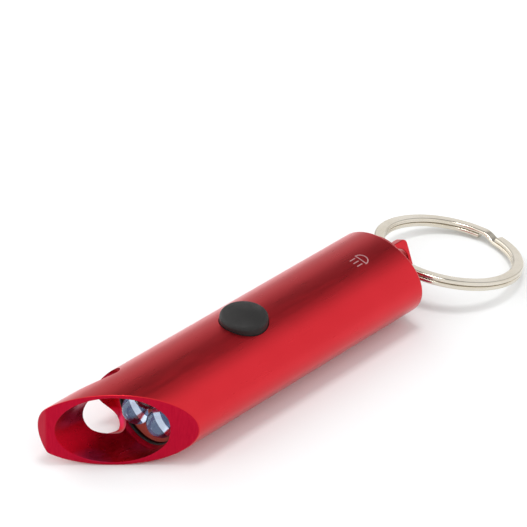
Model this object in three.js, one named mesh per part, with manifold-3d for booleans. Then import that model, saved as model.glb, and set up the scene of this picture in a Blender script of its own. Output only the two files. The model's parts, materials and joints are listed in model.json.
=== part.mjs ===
// Keychain flashlight with a slanted opener mouth: an oval anodised tube holding a
// three-LED lamp module, a side push switch and three button cells, closed by a
// screwed tail plug whose lug carries a split key ring.
//
// Millimetres. While it is built, X runs along the tube from the tip to the tail,
// Z points up through the push button, and the tube's centre line is y = z = 0.
// The finished group stands on z = 0, centred under its own outer box.

import * as THREE from "three";
import { mergeVertices } from "three/addons/utils/BufferGeometryUtils.js";
import Module from "manifold-3d";

// ---- driving dimensions -------------------------------------------------------

// The oval tube, with a narrow flat along its underside that it rests on.
const BODY = { length: 67.4, width: 17.8, height: 13.1, flat: 2.0 };
const MOUTH = { angle: 43.8, tipFlat: 2.1 }; // slant to the tube's axis, square tip left
const BORE = { radius: 6.0, lipRadius: 5.65, lipStart: 13.1, lipEnd: 14.0 };
// The opener slot: its middle on the far wall, its lean to the tube's axis, and its rounded floor.
const SLOT = { width: 5.6, height: 11.1, x: 9.89, y: 7.09, lean: 36.8, floor: 5.0, corner: 1.5 };
const BUTTON = { x: 35, radius: 3.8, edge: 7.25, top: 8.2, clearance: 0.12 };
const FLANGE = { length: 13, width: 7, bottom: 3.5, top: 4.5 }; // keeps the button in
const LAMP = { face: 14.7, thickness: 2.5, radius: 5.5 };
const LED = { radius: 2.35, length: 6, circle: 2.85, angles: [-27, 87, 201] };
const CORE = {
  start: 17.5, end: 46, outer: 5.85, inner: 4.9, lampInner: 5.35, floor: -3.1, roof: 2.5,
};
const CELL = { radius: 5.8, thickness: 5.4, count: 3, gap: 0.02 };
const PLUG = { start: 63.5, radius: 5.93, flangeRadius: 6.15, flange: 0.5, pitch: 0.75 };
const SEAL = { x: 65.9, section: 0.42, radius: 5.53 };
const LUG = { end: 73.8, width: 6.4, thickness: 1.6, holeX: 70.95, holeRadius: 2.25, roll: 23.7 };
const RING = { outer: 12.6, wire: 1.88, thick: 0.76, pitch: 0.8, tilt: 12.25 };
const RING_AT = { x: 82.95, y: -1.15, z: -2.98 }; // its centre, with the loop swung down

const SMOOTH = 48; // sides of the round parts that show or bear
const PLAIN = 28; // sides of the small inner parts
const CLEAR = 0.05; // running clearance between turned parts

const halfWidth = BODY.width / 2;
const halfHeight = BODY.height / 2;
const slant = THREE.MathUtils.degToRad(MOUTH.angle);

// ---- materials ------------------------------------------------------------------

function material(color, roughness, metalness) {
  return new THREE.MeshStandardMaterial({ color, roughness, metalness });
}

const red = () => material(0xb5121f, 0.34, 0.85);
const rubber = () => material(0x2c2a2a, 0.75, 0);
const nickel = () => material(0xc9c2b6, 0.2, 1);
const steel = () => material(0xb9bcc0, 0.3, 1);
const brass = () => material(0xc9a24c, 0.3, 1);
const greenBoard = () => material(0x1f6a3a, 0.5, 0);
const blackPlastic = () => material(0x1c1c1e, 0.5, 0);
const salmonPlastic = () => material(0x9c4a3c, 0.6, 0);
const clearResin = () => material(0xdfe7f2, 0.05, 0);

// ---- solids -----------------------------------------------------------------------

const wasm = await Module();
wasm.setup();

// A closed geometry as a solid that can be joined and cut.
function solid(geometry) {
  const bare = geometry.clone();
  bare.deleteAttribute("normal");
  bare.deleteAttribute("uv");
  const merged = mergeVertices(bare, 1e-4);
  return new wasm.Manifold(
    new wasm.Mesh({
      numProp: 3,
      vertProperties: new Float32Array(merged.attributes.position.array),
      triVerts: new Uint32Array(merged.index.array),
    }),
  );
}

// The solid as a geometry with flat faces.
function geometryOf(made) {
  const mesh = made.getMesh();
  const geometry = new THREE.BufferGeometry();
  geometry.setAttribute("position", new THREE.BufferAttribute(mesh.vertProperties, 3));
  geometry.setIndex(new THREE.BufferAttribute(mesh.triVerts, 1));
  const flat = geometry.toNonIndexed();
  flat.computeVertexNormals();
  return flat;
}

function cut(from, ...tools) {
  return tools.reduce((left, tool) => left.subtract(tool), from);
}

function join(first, ...others) {
  return others.reduce((sum, other) => sum.add(other), first);
}

// A turned shape about the X axis. Each profile point is [x, radius].
function turned(profile, sides = SMOOTH) {
  const points = profile.map(([x, radius]) => new THREE.Vector2(radius, x));
  const geometry = new THREE.LatheGeometry(points, sides);
  // The lathe turns about +Y: a cyclic change of axes lays it along +X.
  geometry.applyMatrix4(new THREE.Matrix4().makeBasis(
    new THREE.Vector3(0, 1, 0),
    new THREE.Vector3(1, 0, 0),
    new THREE.Vector3(0, 0, -1),
  ));
  return geometry;
}

// A solid rod, or a washer when it has an inner radius, from x0 to x1.
function rod(x0, x1, radius, inner = 0, sides = SMOOTH) {
  if (inner > 0) {
    return turned([[x0, inner], [x0, radius], [x1, radius], [x1, inner], [x0, inner]], sides);
  }
  return turned([[x0, 0], [x0, radius], [x1, radius], [x1, 0]], sides);
}

function box(x0, x1, y0, y1, z0, z1) {
  const geometry = new THREE.BoxGeometry(x1 - x0, y1 - y0, z1 - z0);
  geometry.translate((x0 + x1) / 2, (y0 + y1) / 2, (z0 + z1) / 2);
  return geometry;
}

// A turned shape about an upright line through (x, y). Each profile point is [radius, z].
function upright(profile, x, y = 0, sides = SMOOTH) {
  const points = profile.map(([radius, z]) => new THREE.Vector2(radius, z));
  const geometry = new THREE.LatheGeometry(points, sides);
  geometry.rotateX(Math.PI / 2);
  geometry.translate(x, y, 0);
  return geometry;
}

function named(name, geometry, finish) {
  const mesh = new THREE.Mesh(geometry, finish);
  mesh.name = name;
  return mesh;
}

// ---- barrel -------------------------------------------------------------------------

// The oval bar that the tube is cut from.
function ovalBar() {
  const outline = new THREE.Shape();
  const edge = Math.asin(BODY.flat / BODY.width); // where the flat meets the oval
  outline.absellipse(0, 0, halfHeight, halfWidth, edge, 2 * Math.PI - edge);
  outline.closePath();
  const geometry = new THREE.ExtrudeGeometry(outline, {
    depth: BODY.length, bevelEnabled: false, curveSegments: 72,
  });
  geometry.rotateY(Math.PI / 2); // the outline's x becomes -z, its y stays y
  return geometry;
}

// The block beyond the slanted mouth. Its face runs from the square tip to the near side.
function mouthCutter() {
  const reach = 40;
  const outline = new THREE.Shape();
  outline.moveTo(0, halfWidth - MOUTH.tipFlat);
  outline.lineTo(reach * Math.cos(slant), halfWidth - MOUTH.tipFlat - reach * Math.sin(slant));
  outline.lineTo(-reach, -reach);
  outline.lineTo(-reach, halfWidth - MOUTH.tipFlat);
  outline.closePath();
  const geometry = new THREE.ExtrudeGeometry(outline, { depth: reach, bevelEnabled: false });
  geometry.translate(0, 0, -reach / 2);
  return geometry;
}

// The round-ended opener slot, milled through the far wall with a rounded floor.
function slotCutter() {
  const { corner } = SLOT;
  const past = 8; // how far the cutter stands out of the wall
  const radius = SLOT.width / 2;
  const straight = SLOT.height / 2 - radius;
  const outline = new THREE.Shape();
  outline.absarc(0, straight, radius, 0, Math.PI);
  outline.absarc(0, -straight, radius, Math.PI, 2 * Math.PI);
  outline.closePath();
  const geometry = new THREE.ExtrudeGeometry(outline, {
    depth: SLOT.floor + past - 2 * corner, curveSegments: 14,
    bevelSize: corner, bevelThickness: corner, bevelOffset: -corner, bevelSegments: 5,
  });
  geometry.translate(0, 0, corner - SLOT.floor);
  const lean = THREE.MathUtils.degToRad(SLOT.lean);
  const across = new THREE.Vector3(Math.sin(lean), Math.cos(lean), 0);
  const down = new THREE.Vector3(0, 0, -1);
  const outward = new THREE.Vector3(-Math.cos(lean), Math.sin(lean), 0);
  const frame = new THREE.Matrix4().makeBasis(across, down, outward);
  geometry.applyMatrix4(frame.setPosition(SLOT.x, SLOT.y, 0));
  return geometry;
}

function boreCutter() {
  const past = 1;
  return turned([
    [-past, 0],
    [-past, BORE.radius],
    [BORE.lipStart, BORE.radius],
    [BORE.lipEnd, BORE.lipRadius],
    [BORE.lipEnd, BORE.radius],
    [BODY.length + past, BORE.radius],
    [BODY.length + past, 0],
  ]);
}

function buttonHoleCutter() {
  const radius = BUTTON.radius + BUTTON.clearance;
  return upright([[0, 0], [radius, 0], [radius, 10], [0, 10]], BUTTON.x);
}

function barrel() {
  const made = cut(
    solid(ovalBar()),
    solid(mouthCutter()),
    solid(boreCutter()),
    solid(slotCutter()),
    solid(buttonHoleCutter()),
  );
  return named("barrel", geometryOf(made), red());
}

// ---- lamp module ----------------------------------------------------------------------

const ledCentres = LED.angles.map((degrees) => {
  const angle = THREE.MathUtils.degToRad(degrees);
  return { y: LED.circle * Math.cos(angle), z: LED.circle * Math.sin(angle) };
});

function lampSeal() {
  return named(
    "lamp_seal",
    rod(BORE.lipEnd + CLEAR, LAMP.face - CLEAR, BORE.radius - CLEAR, LAMP.radius),
    rubber(),
  );
}

function lampPlate() {
  const holes = ledCentres.map(({ y, z }) => {
    const hole = rod(LAMP.face - 1, CORE.start + 1, LED.radius + CLEAR, 0, PLAIN);
    return solid(hole.translate(0, y, z));
  });
  const disc = solid(rod(LAMP.face, LAMP.face + LAMP.thickness, LAMP.radius));
  return named("lamp_plate", geometryOf(cut(disc, ...holes)), salmonPlastic());
}

// One clear LED: a half-round nose ahead of the plate, then a straight body.
function led(name, { y, z }) {
  const noseSteps = 7;
  const profile = [];
  for (let i = 0; i <= noseSteps; i += 1) {
    const angle = (i / noseSteps) * (Math.PI / 2);
    profile.push([LAMP.face - LED.radius * Math.cos(angle), LED.radius * Math.sin(angle)]);
  }
  profile.push([LAMP.face + LED.length, LED.radius], [LAMP.face + LED.length, 0]);
  return named(name, turned(profile, PLAIN).translate(0, y, z), clearResin());
}

const BOARD = { front: LAMP.face + LED.length + 0.1, thickness: 1 }; // carries the LEDs
const boardBack = BOARD.front + BOARD.thickness;

function ledBoard() {
  const disc = rod(BOARD.front, boardBack, CORE.lampInner - CLEAR, 0, PLAIN);
  return named("led_board", disc, greenBoard());
}

function ledResistor() {
  const x = boardBack + CLEAR;
  return named("led_resistor", box(x, x + 0.6, -1.6, 1.6, 1.6, 3.2), blackPlastic());
}

// ---- plastic core -----------------------------------------------------------------------

// Half of the core that carries the lamp, the switch board and the front contact.
// The upper half is open over the switch; the lower half has a flat floor for the board.
function coreHalf(name, upper) {
  const side = upper ? 1 : -1;
  const split = 0.02;
  const reach = 10;
  const whole = cut(
    solid(rod(CORE.start, CORE.end, CORE.outer)),
    solid(rod(CORE.start - 1, CORE.end - 1.5, CORE.inner)),
    solid(rod(CORE.start - 1, boardBack + 0.3, CORE.lampInner)),
    solid(rod(CORE.end - 2, CORE.end + 1, 1.2, 0, PLAIN)),
  );
  const keep = side > 0
    ? box(0, 60, -reach, reach, split, reach)
    : box(0, 60, -reach, reach, -reach, -split);
  let half = whole.intersect(solid(keep));
  if (upper) {
    const start = BUTTON.x - FLANGE.length / 2 - 0.5;
    const end = BUTTON.x + FLANGE.length / 2 + 0.5;
    half = half.subtract(solid(box(start, end, -reach, reach, CORE.roof, reach)));
  } else {
    const floor = rod(CORE.start + 6, CORE.end - 1.4, CORE.inner + 0.3);
    const below = box(0, 60, -reach, reach, -reach, CORE.floor);
    half = half.add(solid(floor).intersect(solid(below)));
  }
  return named(name, geometryOf(half), blackPlastic());
}

// ---- push switch --------------------------------------------------------------------------

const SWITCH = { board: -3.05, boardTop: -2.15, size: 6, top: 1.5, cover: 0.3, stem: 1.7 };

function switchBoard() {
  const geometry = box(25, 43.5, -3.6, 3.6, SWITCH.board, SWITCH.boardTop);
  return named("switch_board", geometry, greenBoard());
}

function switchBody() {
  const half = SWITCH.size / 2;
  const x = BUTTON.x;
  const block = box(x - half, x + half, -half, half, SWITCH.boardTop + CLEAR, SWITCH.top);
  const wellRadius = SWITCH.stem + 0.15;
  const well = upright([[0, -1], [wellRadius, -1], [wellRadius, 4], [0, 4]], x, 0, PLAIN);
  return named("switch_body", geometryOf(cut(solid(block), solid(well))), blackPlastic());
}

function switchCover() {
  const half = SWITCH.size / 2;
  const x = BUTTON.x;
  const plate = box(x - half, x + half, -half, half, SWITCH.top + CLEAR, SWITCH.top + SWITCH.cover);
  const hole = upright([[0, 0], [SWITCH.stem + 0.2, 0], [SWITCH.stem + 0.2, 4], [0, 4]], x, 0, PLAIN);
  return named("switch_cover", geometryOf(cut(solid(plate), solid(hole))), steel());
}

function switchDome() {
  const dome = upright([[0, -0.95], [1.5, -0.95], [1.5, -0.8], [0.8, -0.65], [0, -0.6]],
    BUTTON.x, 0, PLAIN);
  return named("switch_dome", dome, steel());
}

function switchStem() {
  const top = FLANGE.bottom - CLEAR;
  const profile = [[0, 0.4], [SWITCH.stem, 0.4], [SWITCH.stem, top], [0, top]];
  return named("switch_stem", upright(profile, BUTTON.x, 0, PLAIN), blackPlastic());
}

function pushButton() {
  const { radius, edge, top } = BUTTON;
  const cap = [[0, FLANGE.top - 0.5], [radius, FLANGE.top - 0.5], [radius, edge]];
  const domeSteps = 6;
  for (let i = 1; i <= domeSteps; i += 1) {
    const angle = (i / domeSteps) * (Math.PI / 2);
    const z = edge + (top - edge) * Math.sin(angle);
    cap.push([i === domeSteps ? 0 : radius * Math.cos(angle) ** 0.6, z]);
  }
  const halfLength = FLANGE.length / 2;
  const plate = box(BUTTON.x - halfLength, BUTTON.x + halfLength,
    -FLANGE.width / 2, FLANGE.width / 2, FLANGE.bottom, FLANGE.top);
  const made = join(solid(upright(cap, BUTTON.x)), solid(plate));
  return named("push_button", geometryOf(made), rubber());
}

// ---- wires and contacts ---------------------------------------------------------------------

// A bent insulated wire between the LED board and the switch board.
function lead(name, side, color) {
  const path = new THREE.CatmullRomCurve3([
    new THREE.Vector3(boardBack + 0.1, side * 2.4, -1.2),
    new THREE.Vector3(boardBack + 1.4, side * 2.5, -1.2),
    new THREE.Vector3(boardBack + 2.6, side * 2.6, -1.5),
    new THREE.Vector3(boardBack + 4.2, side * 2.6, -1.7),
    new THREE.Vector3(boardBack + 6.2, side * 2.6, -1.75),
  ]);
  const wireRadius = 0.35;
  const section = new THREE.Shape();
  section.absarc(0, 0, wireRadius, 0, 2 * Math.PI);
  const geometry = new THREE.ExtrudeGeometry(section, {
    steps: 10, curveSegments: 4, extrudePath: path, bevelEnabled: false,
  });
  return named(name, geometry, material(color, 0.5, 0));
}

function frontContact() {
  const x = CORE.end;
  const profile = [
    [x - 1.4, 0], [x - 1.4, 1.1], [x + CLEAR, 1.1], [x + CLEAR, 3.2],
    [x + 0.35, 3.2], [x + 0.45, 1.6], [x + 0.45, 0],
  ];
  return named("front_contact", turned(profile, PLAIN), brass());
}

const CELLS_START = CORE.end + 0.5;

// A button cell with its positive can facing the lamp and its smaller cap behind.
function cell(index) {
  const x = CELLS_START + index * (CELL.thickness + CELL.gap);
  const profile = [
    [x, 0], [x, CELL.radius - 0.25], [x + 0.25, CELL.radius],
    [x + CELL.thickness - 0.6, CELL.radius], [x + CELL.thickness - 0.35, CELL.radius - 0.4],
    [x + CELL.thickness - 0.35, CELL.radius - 0.9],
    [x + CELL.thickness, CELL.radius - 1.15], [x + CELL.thickness, 0],
  ];
  return named(`cell_${index + 1}`, turned(profile, SMOOTH), steel());
}

function cellSleeve() {
  const length = CELL.count * (CELL.thickness + CELL.gap);
  const geometry = rod(CELLS_START - 0.1, CELLS_START + length, 5.96, 5.86);
  return named("cell_sleeve", geometry, material(0x2f6fb3, 0.4, 0));
}

// ---- tail ---------------------------------------------------------------------------------

// The plug's screwed spigot with its seal groove, spring pocket, outer flange and lug.
function tailPlug() {
  const face = BODY.length + CLEAR;
  const thread = [];
  for (let x = PLUG.start; x < SEAL.x - 1.2; x += PLUG.pitch) {
    thread.push([x + 0.1, PLUG.radius - 0.3], [x + 0.3, PLUG.radius], [x + 0.5, PLUG.radius]);
  }
  const groove = SEAL.section + CLEAR;
  const profile = [
    [PLUG.start + 2.4, 0], [PLUG.start + 2.4, 4.2], [PLUG.start, 4.2],
    ...thread,
    [SEAL.x - groove, PLUG.radius], [SEAL.x - groove, SEAL.radius - groove],
    [SEAL.x + groove, SEAL.radius - groove], [SEAL.x + groove, PLUG.radius],
    [face, PLUG.radius], [face, PLUG.flangeRadius - 0.15], [face + 0.15, PLUG.flangeRadius],
    [face + PLUG.flange - 0.2, PLUG.flangeRadius], [face + PLUG.flange, PLUG.flangeRadius - 0.2],
    [face + PLUG.flange, 0],
  ];
  const made = solid(turned(profile)).add(solid(lug(face + PLUG.flange - 0.3)));
  return named("tail_plug", geometryOf(made), red());
}

// The flat lug with two rounded corners and a round hole, rolled as the plug stopped.
function lug(root) {
  const half = LUG.width / 2;
  const corner = 0.95;
  const outline = new THREE.Shape();
  outline.moveTo(root, -half);
  outline.lineTo(LUG.end - corner, -half);
  outline.absarc(LUG.end - corner, -half + corner, corner, -Math.PI / 2, 0);
  outline.absarc(LUG.end - corner, half - corner, corner, 0, Math.PI / 2);
  outline.lineTo(root, half);
  outline.closePath();
  const hole = new THREE.Path();
  hole.absarc(LUG.holeX, 0, LUG.holeRadius, 0, 2 * Math.PI);
  outline.holes.push(hole);
  const edge = 0.2;
  const geometry = new THREE.ExtrudeGeometry(outline, {
    depth: LUG.thickness - 2 * edge, curveSegments: 12,
    bevelSize: edge, bevelThickness: edge, bevelOffset: -edge, bevelSegments: 1,
  });
  geometry.translate(0, 0, -LUG.thickness / 2 + edge);
  geometry.rotateX(Math.PI / 2 - THREE.MathUtils.degToRad(LUG.roll));
  return geometry;
}

function tailSeal() {
  const geometry = new THREE.TorusGeometry(SEAL.radius, SEAL.section, 8, SMOOTH);
  geometry.rotateY(Math.PI / 2);
  geometry.translate(SEAL.x, 0, 0);
  return named("tail_seal", geometry, rubber());
}

// The conical spring that presses the cells forward, seated in the plug's pocket.
function tailSpring() {
  const turns = 3;
  const steps = 44;
  const start = CELLS_START + CELL.count * (CELL.thickness + CELL.gap) + 0.4;
  const end = PLUG.start + 2.4 - 0.35;
  const points = [];
  for (let i = 0; i <= steps; i += 1) {
    const share = i / steps;
    const angle = share * turns * 2 * Math.PI;
    const radius = 1.6 + 2.0 * share;
    points.push(new THREE.Vector3(
      start + (end - start) * share, radius * Math.cos(angle), radius * Math.sin(angle)));
  }
  const section = new THREE.Shape();
  section.absarc(0, 0, 0.25, 0, 2 * Math.PI);
  const geometry = new THREE.ExtrudeGeometry(section, {
    steps, curveSegments: 3, extrudePath: new THREE.CatmullRomCurve3(points), bevelEnabled: false,
  });
  return named("tail_spring", geometry, nickel());
}

// ---- split ring -------------------------------------------------------------------------------

// A flat wire wound nearly twice round: a lower coil, a jog, and an upper coil.
function splitRing() {
  const start = 10.5;
  const jog = { from: 353, to: 367 };
  const end = 712;
  const bevel = 0.22;
  const halfWire = RING.wire / 2 - bevel;
  const halfThick = RING.thick / 2 - bevel;
  const outline = new THREE.Shape();
  outline.moveTo(-halfWire - bevel, -halfThick);
  outline.absarc(-halfWire, -halfThick, bevel, Math.PI, 1.5 * Math.PI);
  outline.absarc(halfWire, -halfThick, bevel, 1.5 * Math.PI, 2 * Math.PI);
  outline.absarc(halfWire, halfThick, bevel, 0, 0.5 * Math.PI);
  outline.absarc(-halfWire, halfThick, bevel, 0.5 * Math.PI, Math.PI);
  outline.closePath();
  const steps = 120;
  const geometry = new THREE.ExtrudeGeometry(outline, {
    depth: end - start, steps, bevelEnabled: false, curveSegments: 1,
  });
  // The straight bar is wound up: its length becomes the angle in degrees.
  const middle = RING.outer - RING.wire / 2;
  const place = geometry.attributes.position;
  for (let i = 0; i < place.count; i += 1) {
    const degrees = start + place.getZ(i);
    const angle = THREE.MathUtils.degToRad(degrees);
    const rise = THREE.MathUtils.smoothstep(degrees, jog.from, jog.to);
    const radius = middle - place.getX(i);
    place.setXYZ(
      i,
      radius * Math.cos(angle),
      radius * Math.sin(angle),
      place.getY(i) + RING.pitch * (rise - 0.5),
    );
  }
  geometry.rotateY(THREE.MathUtils.degToRad(RING.tilt));
  geometry.translate(RING_AT.x, RING_AT.y, RING_AT.z);
  return named("split_ring", geometry, nickel());
}

// ---- assembly -----------------------------------------------------------------------------------

function flashlight() {
  const group = new THREE.Group();
  group.add(barrel(), tailPlug(), tailSeal(), tailSpring(), splitRing(), pushButton());
  group.add(lampSeal(), lampPlate(), ledBoard(), ledResistor());
  ledCentres.forEach((centre, index) => group.add(led(`led_${index + 1}`, centre)));
  group.add(coreHalf("core_upper", true), coreHalf("core_lower", false));
  group.add(switchBoard(), switchBody(), switchCover(), switchDome(), switchStem());
  group.add(lead("lead_red", 1, 0xb02020), lead("lead_black", -1, 0x151515), frontContact());
  for (let index = 0; index < CELL.count; index += 1) group.add(cell(index));
  group.add(cellSleeve());

  // Stand the object on z = 0, centred under its outer box.
  const outer = new THREE.Box3().setFromObject(group, true);
  const middle = outer.getCenter(new THREE.Vector3());
  group.position.set(-middle.x, -middle.y, -outer.min.z);
  return group;
}

export default flashlight();
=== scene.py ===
"""Looks for the keychain flashlight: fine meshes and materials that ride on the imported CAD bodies.

Shapes are built in millimetres in the tube's own frame, with X from the tip to the tail, Z up
through the push button and the centre line at y = z = 0. place() moves them into the row's frame.
"""

import json
import math

import bmesh
import bpy
from mathutils import Matrix, Vector


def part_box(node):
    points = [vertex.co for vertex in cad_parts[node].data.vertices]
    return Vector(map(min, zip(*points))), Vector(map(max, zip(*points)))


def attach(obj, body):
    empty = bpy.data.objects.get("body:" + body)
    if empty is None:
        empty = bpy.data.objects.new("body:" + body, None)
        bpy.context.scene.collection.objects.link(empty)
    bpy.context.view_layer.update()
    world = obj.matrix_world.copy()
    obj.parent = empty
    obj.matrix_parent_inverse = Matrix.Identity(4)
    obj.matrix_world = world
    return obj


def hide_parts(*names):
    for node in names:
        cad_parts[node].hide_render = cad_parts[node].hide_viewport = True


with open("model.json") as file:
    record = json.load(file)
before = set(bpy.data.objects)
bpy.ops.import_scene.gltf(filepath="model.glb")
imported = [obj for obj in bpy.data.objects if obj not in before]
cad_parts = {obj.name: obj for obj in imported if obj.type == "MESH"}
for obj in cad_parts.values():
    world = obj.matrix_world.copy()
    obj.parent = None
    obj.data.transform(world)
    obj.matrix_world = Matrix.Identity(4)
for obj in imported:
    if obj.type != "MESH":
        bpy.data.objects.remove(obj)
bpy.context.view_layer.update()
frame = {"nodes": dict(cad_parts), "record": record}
nodes = frame["nodes"]

MM = 0.001

# ---- sizes, taken from the frame where it has them -------------------------------------------------

tube_low, tube_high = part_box("barrel")
tip = Vector((tube_low.x, (tube_low.y + tube_high.y) / 2, (tube_low.z + tube_high.z) / 2))
LENGTH = (tube_high.x - tube_low.x) / MM
HALF_WIDTH = (tube_high.y - tube_low.y) / 2 / MM
HALF_HEIGHT = (tube_high.z - tube_low.z) / 2 / MM

plate_low, plate_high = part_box("lamp_plate")
PLATE_FACE = (plate_low.x - tip.x) / MM
PLATE_BACK = (plate_high.x - tip.x) / MM
PLATE_RADIUS = (plate_high.z - plate_low.z) / 2 / MM

button_low, button_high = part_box("push_button")
BUTTON_X = ((button_low.x + button_high.x) / 2 - tip.x) / MM
BUTTON_RADIUS = (button_high.y - button_low.y) / 2 / MM
BUTTON_TOP = (button_high.z - tip.z) / MM
BUTTON_FOOT = (button_low.z - tip.z) / MM

MOUTH_SLANT = math.radians(43.8)
TIP_FLAT = 2.1
BORE_RADIUS = 6.0
LIP_RADIUS, LIP_START, LIP_END = 5.65, 13.1, 14.0
SLOT_WIDTH, SLOT_HEIGHT, SLOT_FLOOR, SLOT_CORNER = 5.6, 11.1, 5.0, 1.5
SLOT_LEAN = math.radians(36.8)
SLOT_AT = Vector((9.89, 7.09, 0))

ROUND = 160  # sides of a turned shape that shows


# ---- mesh tools ------------------------------------------------------------------------------------

def new_piece(name, verts, faces):
    mesh = bpy.data.meshes.new(name)
    mesh.from_pydata([tuple(v) for v in verts], [], faces)
    mesh.validate()
    piece = bpy.data.objects.new(name, mesh)
    bpy.context.scene.collection.objects.link(piece)
    shape = bmesh.new()
    shape.from_mesh(mesh)
    bmesh.ops.recalc_face_normals(shape, faces=shape.faces)
    shape.to_mesh(mesh)
    shape.free()
    return piece


def turned(name, profile, sides=ROUND):
    """A shape turned about the X axis. Each profile point is (x, radius); it starts and ends on the axis,
    or joins its own start."""
    closed = profile[0][1] > 0
    verts, rings = [], []
    for x, radius in profile:
        if radius <= 0:
            rings.append([len(verts)] * sides)
            verts.append((x, 0, 0))
            continue
        rings.append([len(verts) + i for i in range(sides)])
        for i in range(sides):
            angle = 2 * math.pi * i / sides
            verts.append((x, radius * math.cos(angle), radius * math.sin(angle)))
    pairs = list(zip(rings, rings[1:]))
    if closed:
        pairs.append((rings[-1], rings[0]))
    faces = []
    for first, second in pairs:
        for i in range(sides):
            j = (i + 1) % sides
            corners = [first[i], first[j], second[j], second[i]]
            face = list(dict.fromkeys(corners))
            if len(face) > 2:
                faces.append(face)
    return new_piece(name, verts, faces)


def upright(name, profile, x, sides=ROUND):
    """The same about an upright line through (x, 0). Each profile point is (radius, z)."""
    piece = turned(name, [(z, radius) for radius, z in profile], sides)
    piece.data.transform(Matrix.Translation((x, 0, 0)) @ Matrix.Rotation(-math.pi / 2, 4, "Y"))
    return piece


def lofted(name, sections):
    """A closed skin over a list of equal-sized loops of points, capped at both ends."""
    count = len(sections[0])
    verts = [point for section in sections for point in section]
    faces = [list(range(count)), [len(verts) - count + i for i in range(count)]]
    for row in range(len(sections) - 1):
        base = row * count
        for i in range(count):
            j = (i + 1) % count
            faces.append([base + i, base + j, base + count + j, base + count + i])
    return new_piece(name, verts, faces)


def arc(centre, radius, start, end, steps):
    """Points on a circle in a plane, from one angle to another, in degrees."""
    points = []
    for i in range(steps + 1):
        angle = math.radians(start + (end - start) * i / steps)
        points.append((centre[0] + radius * math.cos(angle), centre[1] + radius * math.sin(angle)))
    return points


def bake(piece):
    """Applies the piece's modifiers."""
    graph = bpy.context.evaluated_depsgraph_get()
    mesh = bpy.data.meshes.new_from_object(piece.evaluated_get(graph))
    piece.modifiers.clear()
    piece.data = mesh
    return piece


def combine(piece, operation, others):
    """Joins the others to the piece, or cuts them from it, and uses them up."""
    for other in others:
        step = piece.modifiers.new(operation.lower(), "BOOLEAN")
        step.operation = operation
        step.solver = "EXACT"
        step.object = other
    bake(piece)
    for other in others:
        bpy.data.objects.remove(other)
    return piece


def soften_edges(piece, width, segments=2, angle=35):
    """Welds near-equal points, then bevels each edge that turns by more than the angle."""
    shape = bmesh.new()
    shape.from_mesh(piece.data)
    bmesh.ops.remove_doubles(shape, verts=shape.verts, dist=0.004)
    bmesh.ops.dissolve_degenerate(shape, edges=shape.edges, dist=0.004)
    shape.to_mesh(piece.data)
    shape.free()
    step = piece.modifiers.new("edges", "BEVEL")
    step.width = width
    step.segments = segments
    step.limit_method = "ANGLE"
    step.angle_limit = math.radians(angle)
    step.use_clamp_overlap = False
    return bake(piece)


def smooth(piece, angle=32):
    """Shades the piece smooth, apart from the edges that turn by more than the angle."""
    mesh = piece.data
    mesh.shade_smooth()
    mesh.set_sharp_from_angle(angle=math.radians(angle))
    step = piece.modifiers.new("normals", "WEIGHTED_NORMAL")
    step.keep_sharp = True
    return bake(piece)


def place(piece, body, *replaced):
    """Moves a finished piece from the tube's frame into the row's, and hands it to its body."""
    piece.data.transform(Matrix.Translation(tip) @ Matrix.Scale(MM, 4))
    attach(piece, body)
    if replaced:
        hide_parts(*replaced)
    return piece


# ---- material tools --------------------------------------------------------------------------------

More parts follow.
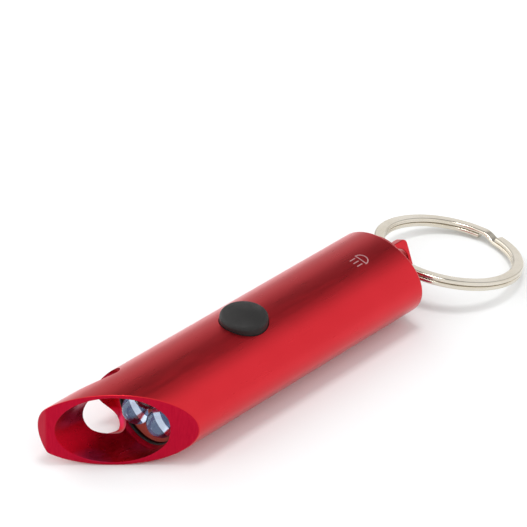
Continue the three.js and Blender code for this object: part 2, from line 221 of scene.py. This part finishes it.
class Shader:
    """A principled material, with short calls for the nodes that drive it."""

    def __init__(self, name, color, roughness, metallic=0.0, **constants):
        self.material = bpy.data.materials.new(name)
        self.material.use_nodes = True
        self.tree = self.material.node_tree
        self.surface = self.tree.nodes["Principled BSDF"]
        self.set("Base Color", (*color, 1))
        self.set("Roughness", roughness)
        self.set("Metallic", metallic)
        for socket, value in constants.items():
            self.set(socket.replace("_", " "), value)
        self.heights = []

    def set(self, socket, value):
        self.surface.inputs[socket].default_value = value

    def node(self, kind, **settings):
        made = self.tree.nodes.new(kind)
        for key, value in settings.items():
            setattr(made, key, value)
        return made

    def link(self, source, target):
        self.tree.links.new(source, target)

    def position(self, scale=(1, 1, 1)):
        """The point on the object in metres, stretched by a scale."""
        coordinate = self.node("ShaderNodeTexCoord")
        mapping = self.node("ShaderNodeMapping")
        mapping.inputs["Scale"].default_value = scale
        self.link(coordinate.outputs["Object"], mapping.inputs["Vector"])
        return mapping.outputs["Vector"]

    def noise(self, scale, detail=3.0, stretch=(1, 1, 1)):
        """Noise whose grain is about 1 / scale metres."""
        made = self.node("ShaderNodeTexNoise")
        made.inputs["Scale"].default_value = scale
        made.inputs["Detail"].default_value = detail
        self.link(self.position(stretch), made.inputs["Vector"])
        return made.outputs["Fac"]

    def ramp(self, source, low, high, start=0.3, end=0.7):
        """A number or colour that runs from low to high as the source does from start to end."""
        made = self.node("ShaderNodeMapRange")
        made.inputs["From Min"].default_value = start
        made.inputs["From Max"].default_value = end
        made.inputs["To Min"].default_value = low
        made.inputs["To Max"].default_value = high
        self.link(source, made.inputs["Value"])
        return made.outputs["Result"]

    def math(self, operation, a, b=0.0, c=0.0):
        made = self.node("ShaderNodeMath", operation=operation)
        for socket, value in zip(made.inputs, (a, b, c)):
            if isinstance(value, (int, float)):
                socket.default_value = value
            else:
                self.link(value, socket)
        return made.outputs["Value"]

    def mix(self, factor, first, second):
        made = self.node("ShaderNodeMix", data_type="RGBA")
        self.link(factor, made.inputs["Factor"])
        for socket, value in ((made.inputs[6], first), (made.inputs[7], second)):
            if isinstance(value, tuple):
                socket.default_value = (*value, 1)
            else:
                self.link(value, socket)
        return made.outputs[2]

    def drive(self, socket, source):
        self.link(source, self.surface.inputs[socket])

    def bump(self, source, strength, depth):
        """Adds a relief of that depth in metres on top of any earlier one."""
        made = self.node("ShaderNodeBump")
        made.inputs["Strength"].default_value = strength
        made.inputs["Distance"].default_value = depth
        self.link(source, made.inputs["Height"])
        if self.heights:
            self.link(self.heights[-1], made.inputs["Normal"])
        self.heights.append(made.outputs["Normal"])
        self.link(made.outputs["Normal"], self.surface.inputs["Normal"])


# ---- materials -------------------------------------------------------------------------------------

RED = (0.60, 0.010, 0.020)
DEEP_RED = (0.46, 0.003, 0.014)


def etched_mark(shader):
    """Mask of a small generic lamp sign on the tube's top: a half disc with three beams."""
    centre = tip + Vector((60.2, -1.5, 0)) * MM
    coordinate = shader.node("ShaderNodeTexCoord")
    split = shader.node("ShaderNodeSeparateXYZ")
    shader.link(coordinate.outputs["Object"], split.inputs["Vector"])
    across = shader.math("SUBTRACT", split.outputs["Y"], centre.y)
    along = shader.math("SUBTRACT", split.outputs["X"], centre.x)

    def under(value, limit):
        return shader.math("LESS_THAN", value, limit * MM)

    def over(value, limit):
        return shader.math("GREATER_THAN", value, limit * MM)

    distance = shader.math("SQRT", shader.math("ADD",
        shader.math("MULTIPLY", across, across), shader.math("MULTIPLY", along, along)))
    rim = shader.math("MULTIPLY", under(distance, 1.25), over(distance, 1.05))
    half_disc = shader.math("MULTIPLY", rim, over(along, 0.0))
    chord = shader.math("MULTIPLY", under(shader.math("ABSOLUTE", along), 0.1),
                        under(shader.math("ABSOLUTE", across), 1.25))
    beams = None
    for offset in (-0.8, 0.0, 0.8):
        line = under(shader.math("ABSOLUTE", shader.math("SUBTRACT", across, offset * MM)), 0.1)
        beams = line if beams is None else shader.math("ADD", beams, line)
    reach = shader.math("MULTIPLY", under(along, -0.5), over(along, -1.7))
    beams = shader.math("MULTIPLY", beams, reach)
    mark = shader.math("ADD", shader.math("ADD", half_disc, chord), beams)
    on_top = shader.math("GREATER_THAN", split.outputs["Z"], tip.z + 4 * MM)
    return shader.math("MINIMUM", shader.math("MULTIPLY", mark, on_top), 1.0)


def red_anodised():
    """Satin anodised skin: a blasted grain under faint lengthwise draw lines, and an etched sign."""
    shader = Shader("red_anodised", RED, 0.32, 1.0, Coat_Weight=0.35, Coat_Roughness=0.3)
    mark = etched_mark(shader)
    drift = shader.noise(90, 2.0)
    tone = shader.mix(shader.ramp(drift, 0, 1), RED, (0.64, 0.013, 0.024))
    shader.drive("Base Color", shader.mix(mark, tone, (0.78, 0.42, 0.44)))
    satin = shader.ramp(shader.noise(1500, 4.0, (0.15, 1, 1)), 0.27, 0.34)
    shader.drive("Roughness", shader.math("ADD", satin, shader.math("MULTIPLY", mark, 0.15)))
    shader.bump(shader.noise(9000, 2.0), 0.10, 0.00002)
    shader.bump(shader.noise(2600, 2.0, (0.03, 1, 1)), 0.03, 0.00002)
    return shader.material


def red_milled():
    """The slanted mouth and the lip: fine parallel milling marks under the anodising."""
    shader = Shader("red_milled", RED, 0.36, 1.0)
    light, dark = (0.47, 0.007, 0.030), (0.40, 0.004, 0.024)
    grain = shader.noise(5000, 3.0, (1, 1, 0.12))
    shader.drive("Base Color", shader.mix(shader.ramp(grain, 0, 1), dark, light))
    shader.drive("Roughness", shader.ramp(grain, 0.32, 0.42))
    shader.bump(grain, 0.15, 0.00003)
    return shader.material


def red_bored():
    """The bore: turning rings along the tube, with random violet patches painted on as a painted reflection
    off the turning marks.
    """
    shader = Shader("red_bored", DEEP_RED, 0.3, 1.0)
    rings = shader.node("ShaderNodeTexWave", wave_type="BANDS", bands_direction="X")
    rings.inputs["Scale"].default_value = 1900
    rings.inputs["Distortion"].default_value = 0.6
    rings.inputs["Detail"].default_value = 2
    shader.link(shader.position(), rings.inputs["Vector"])
    # Violet patches at random: a painted reflection of coloured light off the turning marks.
    patches = shader.ramp(shader.noise(110, 1.0), 0, 1, 0.48, 0.70)
    painted_reflection_colour = shader.mix(patches, DEEP_RED, (0.46, 0.05, 0.16))
    shader.drive("Base Color", painted_reflection_colour)
    shader.drive("Roughness", shader.ramp(shader.noise(1200), 0.26, 0.36))
    shader.bump(rings.outputs["Fac"], 0.25, 0.00003)
    return shader.material


def black_rubber(name, color, grain):
    """Matt rubber with a fine speckle."""
    shader = Shader(name, color, 0.6, 0.0, Specular_IOR_Level=0.4)
    speckle = shader.noise(grain, 3.0)
    lighter = tuple(1.6 * value for value in color)
    shader.drive("Base Color", shader.mix(shader.ramp(speckle, 0, 1), color, lighter))
    shader.drive("Roughness", shader.ramp(shader.noise(700), 0.5, 0.66))
    shader.bump(speckle, 0.3, 0.00003)
    return shader.material


def nickel_plate():
    """Bright warm nickel with fine drawing lines round the wire and faint handling marks."""
    shader = Shader("nickel_plate", (0.70, 0.64, 0.55), 0.13, 1.0)
    smear = shader.noise(160, 4.0)
    shader.drive("Base Color", shader.mix(shader.ramp(smear, 0, 1), (0.65, 0.59, 0.49), (0.74, 0.69, 0.605)))
    shader.drive("Roughness", shader.ramp(shader.noise(900, 4.0), 0.09, 0.19))
    shader.bump(shader.noise(4200, 2.0, (1, 1, 3)), 0.06, 0.00002)
    return shader.material


def moulded(name, color, roughness, grain=2400):
    """Moulded or coated plastic with a fine spark texture and a slow drift in tone."""
    shader = Shader(name, color, roughness)
    darker = tuple(0.78 * value for value in color)
    shader.drive("Base Color", shader.mix(shader.ramp(shader.noise(240), 0, 1), darker, color))
    shader.drive("Roughness", shader.ramp(shader.noise(900), roughness - 0.06, roughness + 0.06))
    shader.bump(shader.noise(grain, 2.0), 0.25, 0.00002)
    return shader.material


def metal(name, color, roughness):
    """Plain plated or stamped metal with fine scratches."""
    shader = Shader(name, color, roughness, 1.0)
    darker = tuple(0.85 * value for value in color)
    shader.drive("Base Color", shader.mix(shader.ramp(shader.noise(300), 0, 1), darker, color))
    scratches = shader.noise(2000, 4.0, (0.2, 1, 1))
    shader.drive("Roughness", shader.ramp(scratches, roughness - 0.06, roughness + 0.08))
    return shader.material


def led_resin():
    """Water-clear cast resin."""
    shader = Shader("led_resin", (0.93, 0.96, 1.0), 0.03, 0.0, Transmission_Weight=1.0, IOR=1.5)
    shader.drive("Roughness", shader.ramp(shader.noise(400), 0.02, 0.05))
    return shader.material


paint = {
    "red_anodised": red_anodised(),
    "black_rubber": black_rubber("black_rubber", (0.004, 0.004, 0.004), 3000),
    "button_rubber": black_rubber("button_rubber", (0.0065, 0.0058, 0.0056), 5200),
    "nickel_plate": nickel_plate(),
    "spring_steel": metal("spring_steel", (0.62, 0.62, 0.62), 0.25),
    "cell_steel": metal("cell_steel", (0.70, 0.70, 0.71), 0.22),
    "contact_brass": metal("contact_brass", (0.78, 0.58, 0.26), 0.25),
    "salmon_plastic": moulded("salmon_plastic", (0.42, 0.070, 0.050), 0.55),
    "black_plastic": moulded("black_plastic", (0.02, 0.02, 0.021), 0.5),
    "circuit_board": moulded("circuit_board", (0.03, 0.20, 0.07), 0.4),
    "led_resin": led_resin(),
    "red_insulation": moulded("red_insulation", (0.45, 0.02, 0.02), 0.4),
    "black_insulation": moulded("black_insulation", (0.015, 0.015, 0.015), 0.4),
    "blue_film": moulded("blue_film", (0.04, 0.16, 0.45), 0.3),
}
milled, bored = red_milled(), red_bored()
# Lit and shaded copies of the reflector metal: a bluish-white painted highlight and a dark blue painted
# shade, laid on alternate steps of the cup.
painted_highlight_reflector = metal("led_reflector", (0.62, 0.70, 0.84), 0.14)
painted_shade_reflector = metal("led_reflector_painted_shade", (0.10, 0.14, 0.24), 0.2)


def finish(piece, slot, *more):
    """Paints a piece with its slot's material, then any others that its faces use."""
    for made in (paint[slot], *more):
        piece.data.materials.append(made)
    return piece


# ---- barrel ----------------------------------------------------------------------------------------

RIM_EASE, TAIL_EASE, BORE_EASE = 0.25, 0.4, 0.12  # rounding of the mouth's rim, tail and bore
TUBE_SIDES = 288
MILLED_FACE, BORED_FACE = 1, 2  # the barrel's material slots past its skin
BUTTON_GAP = 0.12


def mouth_x(y):
    """Where the slanted mouth, or the square tip past it, cuts a line along the tube."""
    blend = 0.10  # how softly the slant turns into the tip
    slanted = (HALF_WIDTH - TIP_FLAT - y) / math.tan(MOUTH_SLANT)
    return blend * math.log1p(math.exp(slanted / blend)) if slanted < 20 * blend else slanted


def bore_radius(x):
    """The bore narrows to a lip in front of the lamp."""
    if x < LIP_START:
        return BORE_RADIUS
    return BORE_RADIUS - (BORE_RADIUS - LIP_RADIUS) * (x - LIP_START) / (LIP_END - LIP_START)


def eased(steps):
    """Inset and setback of points round an eased edge of unit size, from the face to the side."""
    angles = [math.radians(90 * i / steps) for i in range(steps + 1)]
    return [(1 - math.sin(angle), 1 - math.cos(angle)) for angle in angles]


def evenly(start, end, steps):
    """The points between start and end, without either."""
    return [start + (end - start) * i / steps for i in range(1, steps)]


def wall_profile(t):
    """The wall's closed outline at one angle: out along the skin and back down the bore."""
    c, s = math.cos(t), math.sin(t)

    def outer(x, inset):
        return (x, (HALF_WIDTH - inset) * c, (HALF_HEIGHT - inset) * s)

    def inner(x, radius):
        return (x, radius * c, radius * s)

    points = []
    for inset, setback in eased(4):
        y = (HALF_WIDTH - RIM_EASE * inset) * c
        points.append(outer(mouth_x(y) + RIM_EASE * setback, RIM_EASE * inset))
    skin_start = mouth_x(HALF_WIDTH * c) + RIM_EASE
    points += [outer(x, 0) for x in evenly(skin_start, LENGTH - TAIL_EASE, 40)]
    for inset, setback in reversed(eased(5)):
        points.append(outer(LENGTH - TAIL_EASE * setback, TAIL_EASE * inset))
    points += [inner(LENGTH, BORE_RADIUS + BORE_EASE), inner(LENGTH - BORE_EASE, BORE_RADIUS)]
    points += [inner(x, BORE_RADIUS) for x in evenly(LENGTH, LIP_END, 5)]
    points.append(inner(LIP_END, BORE_RADIUS))
    edge = mouth_x(BORE_RADIUS * c)
    for _ in range(4):  # settles where the slant meets the narrowing lip
        edge = mouth_x(bore_radius(edge) * c)
    edge += BORE_EASE
    lip_start = max(LIP_START, edge + 0.02)
    lip = [LIP_END] + evenly(LIP_END, lip_start, 4) + [lip_start]
    for x in lip + evenly(lip_start, edge, 12):
        points.append(inner(x, bore_radius(x)))
    radius = bore_radius(edge)
    for inset, setback in reversed(eased(3)):
        here = radius + BORE_EASE * inset
        points.append(inner(mouth_x(here * c) + BORE_EASE * setback, here))
    _, y0, z0 = points[-1]
    _, y1, z1 = points[0]
    for share in evenly(0, 1, 14):
        y = y0 + (y1 - y0) * share
        points.append((mouth_x(y), y, z0 + (z1 - z0) * share))
    return points


def tube_wall():
    """The wall's outlines, joined all the way round."""
    profiles = [wall_profile(2 * math.pi * i / TUBE_SIDES) for i in range(TUBE_SIDES)]
    count = len(profiles[0])
    verts = [point for profile in profiles for point in profile]
    faces = []
    for i in range(TUBE_SIDES):
        here, after = i * count, (i + 1) % TUBE_SIDES * count
        for k in range(count):
            m = (k + 1) % count
            faces.append([here + k, here + m, after + m, after + k])
    return new_piece("barrel_skin", verts, faces)


def slot_tool():
    """The round-ended slot, milled through the far wall with a rounded floor."""
    across = Vector((math.sin(SLOT_LEAN), math.cos(SLOT_LEAN), 0))
    outward = Vector((-math.cos(SLOT_LEAN), math.sin(SLOT_LEAN), 0))
    up = Vector((0, 0, 1))
    straight = (SLOT_HEIGHT - SLOT_WIDTH) / 2
    past = 8  # how far the cutter stands out of the wall
    sections = []
    for degrees in range(-90, 1, 15):
        angle = math.radians(degrees)
        radius = SLOT_WIDTH / 2 - SLOT_CORNER * (1 - math.cos(angle))
        depth = SLOT_CORNER * (1 + math.sin(angle)) - SLOT_FLOOR
        outline = arc((0, straight), radius, 0, 180, 32) + arc((0, -straight), radius, 180, 360, 32)
        sections.append([SLOT_AT + across * a + up * b + outward * depth for a, b in outline])
    sections.append([point + outward * past for point in sections[-1]])
    return lofted("slot", sections)


def button_hole_tool():
    radius, top = BUTTON_RADIUS + BUTTON_GAP, 10
    return upright("hole", [(0, 0), (radius, 0), (radius, top), (0, top)], BUTTON_X)


def barrel():
    """The tube: anodised outside, milled at the mouth and the lip, bored inside."""
    skin = tube_wall()
    combine(skin, "DIFFERENCE", [slot_tool(), button_hole_tool()])
    smooth(skin)
    true_normals(skin.data)
    finish(skin, "red_anodised", milled, bored)
    for face in skin.data.polygons:
        if in_cut(face) or on_lip(face):
            face.material_index = MILLED_FACE
        elif not on_skin(face):
            face.material_index = BORED_FACE
    return place(skin, "barrel", "barrel")


def true_normals(mesh):
    """Gives the skin the oval's own normals, so that a cut leaves no crease in its shading."""
    normals = [Vector(corner.vector) for corner in mesh.corner_normals]
    margin = 0.01
    for face in mesh.polygons:
        if not on_skin(face, 0.98):
            continue
        for loop in face.loop_indices:
            point = mesh.vertices[mesh.loops[loop].vertex_index].co
            off_oval = abs((point.y / HALF_WIDTH) ** 2 + (point.z / HALF_HEIGHT) ** 2 - 1)
            start, end = mouth_x(point.y) + RIM_EASE + margin, LENGTH - TAIL_EASE - margin
            if off_oval < 0.002 and start < point.x < end:
                normals[loop] = oval_normal(point)
    mesh.normals_split_custom_set(normals)


def in_cut(face):
    """True for a face of the slanted mouth or of its square tip."""
    return abs(face.center.x - mouth_x(face.center.y)) < 0.06


def on_lip(face):
    """True for a face of the cone that narrows the bore in front of the lamp."""
    radial = Vector((0, face.center.y, face.center.z)).length
    return LIP_START < face.center.x < LIP_END and LIP_RADIUS - 0.05 < radial < BORE_RADIUS - 0.01


def oval_normal(point):
    """The way out of the oval through a point."""
    return Vector((0, point.y / HALF_WIDTH ** 2, point.z / HALF_HEIGHT ** 2)).normalized()


def on_skin(face, least=0.3):
    """True for a face of the tube's outer oval or of its eased edges."""
    return face.normal.dot(oval_normal(face.center)) > least


# ---- lamp ------------------------------------------------------------------------------------------

led_boxes = {name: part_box(name) for name in ("led_1", "led_2", "led_3")}
LED_RADIUS = (led_boxes["led_1"][1].y - led_boxes["led_1"][0].y) / 2 / MM
LED_LENGTH, LED_GAP = 6, 0.04
BLACK_RING_RADIUS, BLACK_RING_HALF_HEIGHT = 5.72, 0.22


def led_centre(name):
    low, high = led_boxes[name]
    middle = (low + high) / 2 - tip
    return Vector((0, middle.y, middle.z)) / MM


def rod(name, start, end, radius, sides=ROUND):
    """A plain round bar along the tube."""
    return turned(name, [(start, 0), (start, radius), (end, radius), (end, 0)], sides)


def lamp_plate():
    """The disc in the bore with a hole for each LED."""
    disc = rod("lamp_disc", PLATE_FACE, PLATE_BACK, PLATE_RADIUS)
    holes = []
    for name in led_boxes:
        hole = rod(name + "_hole", PLATE_FACE - 1, PLATE_BACK + 1, LED_RADIUS + LED_GAP, 96)
        hole.data.transform(Matrix.Translation(led_centre(name)))
        holes.append(hole)
    combine(disc, "DIFFERENCE", holes)
    soften_edges(disc, 0.1)
    smooth(disc)
    finish(disc, "salmon_plastic")
    return place(disc, "barrel", "lamp_plate")


def lamp_seal():
    """A black ring in the gap between the lip and the lamp plate."""
    middle = (LIP_END + PLATE_FACE) / 2
    half = (PLATE_FACE - LIP_END) / 2 - 0.05
    circle = arc((0, 0), 1, 0, 330, 11)
    section = [(middle + x * half, BLACK_RING_RADIUS + r * BLACK_RING_HALF_HEIGHT) for x, r in circle]
    ring = turned("lamp_black_ring", section)
    smooth(ring, 60)
    finish(ring, "black_rubber")
    return place(ring, "barrel", "lamp_seal")


def led(name):
    """A clear LED: its resin body, with a reflector cup and a chip inside."""
    centre = Matrix.Translation(led_centre(name))
    front, back, seat = PLATE_FACE + 0.2, PLATE_FACE + 1.5, 0.5
    led_body(name, centre)
    led_cup(name, centre, front, back, seat)
    led_chip(name, centre, back)


def led_body(name, centre):
    tail = PLATE_FACE + LED_LENGTH
    nose = []
    for degrees in range(0, 91, 6):
        angle = math.radians(degrees)
        nose.append((PLATE_FACE - LED_RADIUS * math.cos(angle), LED_RADIUS * math.sin(angle)))
    body = turned(name + "_resin", nose + [(tail, LED_RADIUS), (tail, 0)], 96)
    body.data.transform(centre)
    smooth(body, 60)
    finish(body, "led_resin")
    place(body, "barrel", name)


def led_cup(name, centre, front, back, seat):
    """The cup opens forward in steps, painted bright and dark in turn as painted highlight and painted shade
    rings.
    """
    steps, depth = 5, 0.3
    rim = LED_RADIUS - 0.12
    wall = [(back, seat)]
    for i in range(1, steps + 1):
        radius, x = seat + (rim - seat) * i / steps, back + (front - back) * i / steps
        wall += [(x + 0.08, radius - 0.10), (x, radius)]
    cup = turned(name + "_cup", [(back, 0)] + wall + [(back + depth, rim), (back + depth, 0)], 64)
    cup.data.materials.append(painted_highlight_reflector)
    cup.data.materials.append(painted_shade_reflector)
    # Alternate steps take the dark copy: painted shade rings between painted highlight rings.
    for face in cup.data.polygons:
        radius = Vector((0, face.center.y, face.center.z)).length
        ring = int((radius - seat) / (rim - seat) * steps)
        face.material_index = 1 if ring % 2 and radius > seat else 0
    cup.data.transform(centre)
    smooth(cup, 30)
    place(cup, "barrel")


def led_chip(name, centre, back):
    half = 0.3
    square = ((-half, -half), (half, -half), (half, half), (-half, half))
    faces = [[(x, y, z) for y, z in square] for x in (back - 0.25, back - 0.02)]
    chip = lofted(name + "_chip", faces)
    soften_edges(chip, 0.05)
    chip.data.transform(centre)
    finish(chip, "contact_brass")
    place(chip, "barrel")


# ---- push button -----------------------------------------------------------------------------------

def push_button():
    """A domed rubber cap, with a rounded shoulder, on the flange that keeps it in the tube."""
    shoulder = 0.8
    edge = BUTTON_TOP - 0.5
    profile = [(0, BUTTON_FOOT + 0.5), (BUTTON_RADIUS, BUTTON_FOOT + 0.5)]
    profile += arc((BUTTON_RADIUS - shoulder, edge - shoulder), shoulder, 0, 78, 10)
    start_radius, start_z = profile[-1]
    steps = 14
    for i in range(1, steps + 1):
        share = i / steps
        radius = start_radius * (1 - share)
        rise = (BUTTON_TOP - start_z) * (1 - (1 - share) ** 2)
        profile.append((radius, start_z + rise))
    cap = upright("button_cap", profile, BUTTON_X)
    half_length = (button_high.x - button_low.x) / 2 / MM
    half_width, flange_height = 3.5, 1
    outline = [(-half_length, -half_width), (half_length, -half_width),
               (half_length, half_width), (-half_length, half_width)]
    levels = (BUTTON_FOOT, BUTTON_FOOT + flange_height)
    flange = lofted("flange", [[(BUTTON_X + x, y, z) for x, y in outline] for z in levels])
    combine(cap, "UNION", [flange])
    smooth(cap, 40)
    finish(cap, "button_rubber")
    return place(cap, "push_button", "push_button")


# ---- tail ------------------------------------------------------------------------------------------

def tail_plug():
    """The turned plug with its pocket, thread, seal groove and flange, and its lug."""
    start, radius, flange_radius, flange = 63.5, 5.93, 6.15, 0.5
    face = LENGTH + 0.05
    pocket_depth, pocket_radius = 2.4, 4.2
    pitch, thread_depth = 0.75, 0.3
    seal_x, groove, groove_radius = 65.9, 0.47, 5.06
    front_round, back_round = 0.2, 0.25
    profile = [(start + pocket_depth, 0), (start + pocket_depth, pocket_radius), (start, pocket_radius)]
    x = start
    while x < seal_x - 1.2:
        profile += [(x + 0.1, radius - thread_depth), (x + 0.3, radius), (x + 0.5, radius)]
        x += pitch
    profile += [
        (seal_x - groove, radius), (seal_x - groove, groove_radius),
        (seal_x + groove, groove_radius), (seal_x + groove, radius),
        (face, radius), (face, flange_radius - 0.15)]
    profile += arc((face + front_round, flange_radius - front_round), front_round, 150, 90, 4)
    profile += arc((face + flange - back_round, flange_radius - back_round), back_round, 90, 0, 6)
    profile.append((face + flange, 0))
    plug = turned("tail_plug_turned", profile)
    combine(plug, "UNION", [lug(face + flange - 0.3)])
    smooth(plug)
    finish(plug, "red_anodised")
    return place(plug, "tail_plug", "tail_plug")


def lug(root):
    """The flat eye at the back of the plug, rolled to the angle it was screwed in at."""
    roll = math.radians(23.7)
    half, corner, end, thickness = 3.2, 0.95, 73.8, 1.6
    hole_x, hole_radius = 70.95, 2.25
    outline = [(root, -half)]
    outline += arc((end - corner, -half + corner), corner, -90, 0, 10)
    outline += arc((end - corner, half - corner), corner, 0, 90, 10)
    outline.append((root, half))
    slab = lofted("lug", [[(x, y, z) for x, y in outline] for z in (-thickness / 2, thickness / 2)])
    circle = arc((hole_x, 0), hole_radius, 0, 352.5, 47)
    hole = lofted("lug_hole", [[(x, y, z) for x, y in circle] for z in (-3, 3)])
    combine(slab, "DIFFERENCE", [hole])
    soften_edges(slab, 0.18, 3)
    slab.data.transform(Matrix.Rotation(math.pi / 2 - roll, 4, "X"))
    return slab


# ---- split ring ------------------------------------------------------------------------------------

def split_ring():
    """Flat wire wound nearly twice round, with a jog between its two free ends."""
    outer, wire, thick, pitch, tilt = 12.6, 1.88, 0.76, 0.8, math.radians(12.25)
    centre = Vector((82.95, -1.15, -2.98))
    first, last, jog_from, jog_to = 10.5, 712.0, 353.0, 367.0  # degrees round the ring
    corner = 0.34
    half_wire, half_thick = wire / 2 - corner, thick / 2 - corner
    section = []
    for sx, sy, start in ((1, 1, 0), (-1, 1, 90), (-1, -1, 180), (1, -1, 270)):
        section += arc((sx * half_wire, sy * half_thick), corner, start, start + 90, 5)
    middle = outer - wire / 2
    steps = 560
    rounding = 0.264  # degrees over which a free end is eased
    end_size = 0.72  # the section's size at its very end
    loops = [(first + (last - first) * i / steps, 1.0) for i in range(steps + 1)]
    for ease in (0.75, 0.5, 0.25, 0.0):
        past = rounding * (1 - ease)
        size = end_size + (1 - end_size) * ease ** 0.5
        loops.insert(0, (first - past, size))
        loops.append((last + past, size))
    sections = []
    for degrees, size in loops:
        share = min(max((degrees - jog_from) / (jog_to - jog_from), 0), 1)
        level = pitch * (share * share * (3 - 2 * share) - 0.5)
        angle = math.radians(degrees)
        outward = Vector((math.cos(angle), math.sin(angle), 0))
        sections.append([
            outward * (middle + u * size) + Vector((0, 0, level + v * size)) for u, v in section])
    ring = lofted("split_ring_wire", sections)
    ring.data.transform(Matrix.Translation(centre) @ Matrix.Rotation(tilt, 4, "Y"))
    smooth(ring, 50)
    finish(ring, "nickel_plate")
    return place(ring, "key_ring", "split_ring")


# ---- hidden CAD nodes: the record's slots set their materials --------------------------------------

def dress_cad_nodes():
    slots = {part["node"]: part["material_slot"] for part in frame["record"]["subparts"]}
    for name, node in nodes.items():
        node.data.materials.clear()
        node.data.materials.append(paint[slots[name]])


# ---- camera, floor and light -----------------------------------------------------------------------

def look_at(thing, position, target, roll=0.0):
    thing.location = position
    aim = (target - position).to_track_quat("-Z", "Y")
    thing.rotation_mode = "QUATERNION"
    thing.rotation_quaternion = aim @ Matrix.Rotation(roll, 3, "Z").to_quaternion()


def from_target(target, azimuth, elevation, distance):
    """A point at that distance from the target. Azimuth 0 is on the -Y side, 90 on the +X side."""
    a, e = math.radians(azimuth), math.radians(elevation)
    return target + distance * Vector((math.sin(a) * math.cos(e), -math.cos(a) * math.cos(e), math.sin(e)))


def make_camera():
    lens = bpy.data.cameras.new("camera")
    lens.lens = 201.8
    lens.sensor_width = 36
    lens.clip_start, lens.clip_end = 0.01, 20
    camera = bpy.data.objects.new("camera", lens)
    bpy.context.scene.collection.objects.link(camera)
    target = tip + Vector((55.25, 14.71, 0)) * MM
    look_at(camera, from_target(target, -47.88, 34.40, 0.4769), target, math.radians(2.3))
    bpy.context.scene.camera = camera


def soft_box(name, azimuth, elevation, distance, size, watts):
    light = bpy.data.lights.new(name, "AREA")
    light.shape = "RECTANGLE"
    light.size, light.size_y = size
    light.energy = watts
    lamp = bpy.data.objects.new(name, light)
    bpy.context.scene.collection.objects.link(lamp)
    target = Vector((0, 0, tip.z))
    look_at(lamp, from_target(target, azimuth, elevation, distance), target)


def make_floor():
    size, drop = 3.0, 0.00002
    corners = [(-size, -size, 0), (size, -size, 0), (size, size, 0), (-size, size, 0)]
    floor = new_piece("floor", corners, [[0, 1, 2, 3]])
    floor.location.z = -drop
    shader = Shader("floor", (0.90, 0.915, 0.92), 0.8)
    shader.drive("Roughness", shader.ramp(shader.noise(40), 0.75, 0.85))
    floor.data.materials.append(shader.material)


def lobe(tree, direction, toward, start, end, amount):
    """A soft patch of sky round a direction: amount at its middle, and nothing outside its edge."""
    aim = tree.nodes.new("ShaderNodeVectorMath")
    aim.operation = "DOT_PRODUCT"
    aim.inputs[1].default_value = Vector(toward).normalized()
    tree.links.new(direction, aim.inputs[0])
    fade = tree.nodes.new("ShaderNodeMapRange")
    fade.interpolation_type = "SMOOTHSTEP"
    fade.inputs["From Min"].default_value = start
    fade.inputs["From Max"].default_value = end
    fade.inputs["To Min"].default_value = 0.0
    fade.inputs["To Max"].default_value = amount
    tree.links.new(aim.outputs["Value"], fade.inputs["Value"])
    return fade.outputs["Result"]


ROOM_LIGHT = 0.62


def make_world():
    """An even pale room with soft bright patches round it, and one dim patch overhead."""
    world = bpy.data.worlds.new("studio")
    bpy.context.scene.world = world
    world.use_nodes = True
    tree = world.node_tree
    direction = tree.nodes.new("ShaderNodeTexCoord").outputs["Generated"]
    patches = [
        lobe(tree, direction, (0.62, -0.62, 0.48), 0.60, 0.85, 0.42),
        lobe(tree, direction, (0.61, 0.24, 0.75), 0.80, 0.98, -0.42),
        lobe(tree, direction, (0.87, 0.45, 0.20), 0.93, 0.985, 0.40),
        lobe(tree, direction, (-0.70, -0.60, 0.40), 0.50, 0.90, 0.40),
        lobe(tree, direction, (-0.45, 0.80, 0.45), 0.50, 0.90, 1.05),
    ]
    total = None
    for patch in patches:
        add = tree.nodes.new("ShaderNodeMath")
        add.operation = "ADD"
        tree.links.new(patch, add.inputs[0])
        if total is None:
            add.inputs[1].default_value = ROOM_LIGHT
        else:
            tree.links.new(total, add.inputs[1])
        total = add.outputs["Value"]
    tree.links.new(total, tree.nodes["Background"].inputs["Strength"])
    tree.nodes["Background"].inputs["Color"].default_value = (1, 1, 1, 1)


make_camera()
make_floor()
make_world()
soft_box("overhead", 0, 90, 1.0, (0.25, 0.25), 2.6)

dress_cad_nodes()
barrel()
lamp_plate()
lamp_seal()
for led_name in led_boxes:
    led(led_name)
push_button()
tail_plug()
split_ring()

bpy.context.scene.view_settings.view_transform = "Standard"
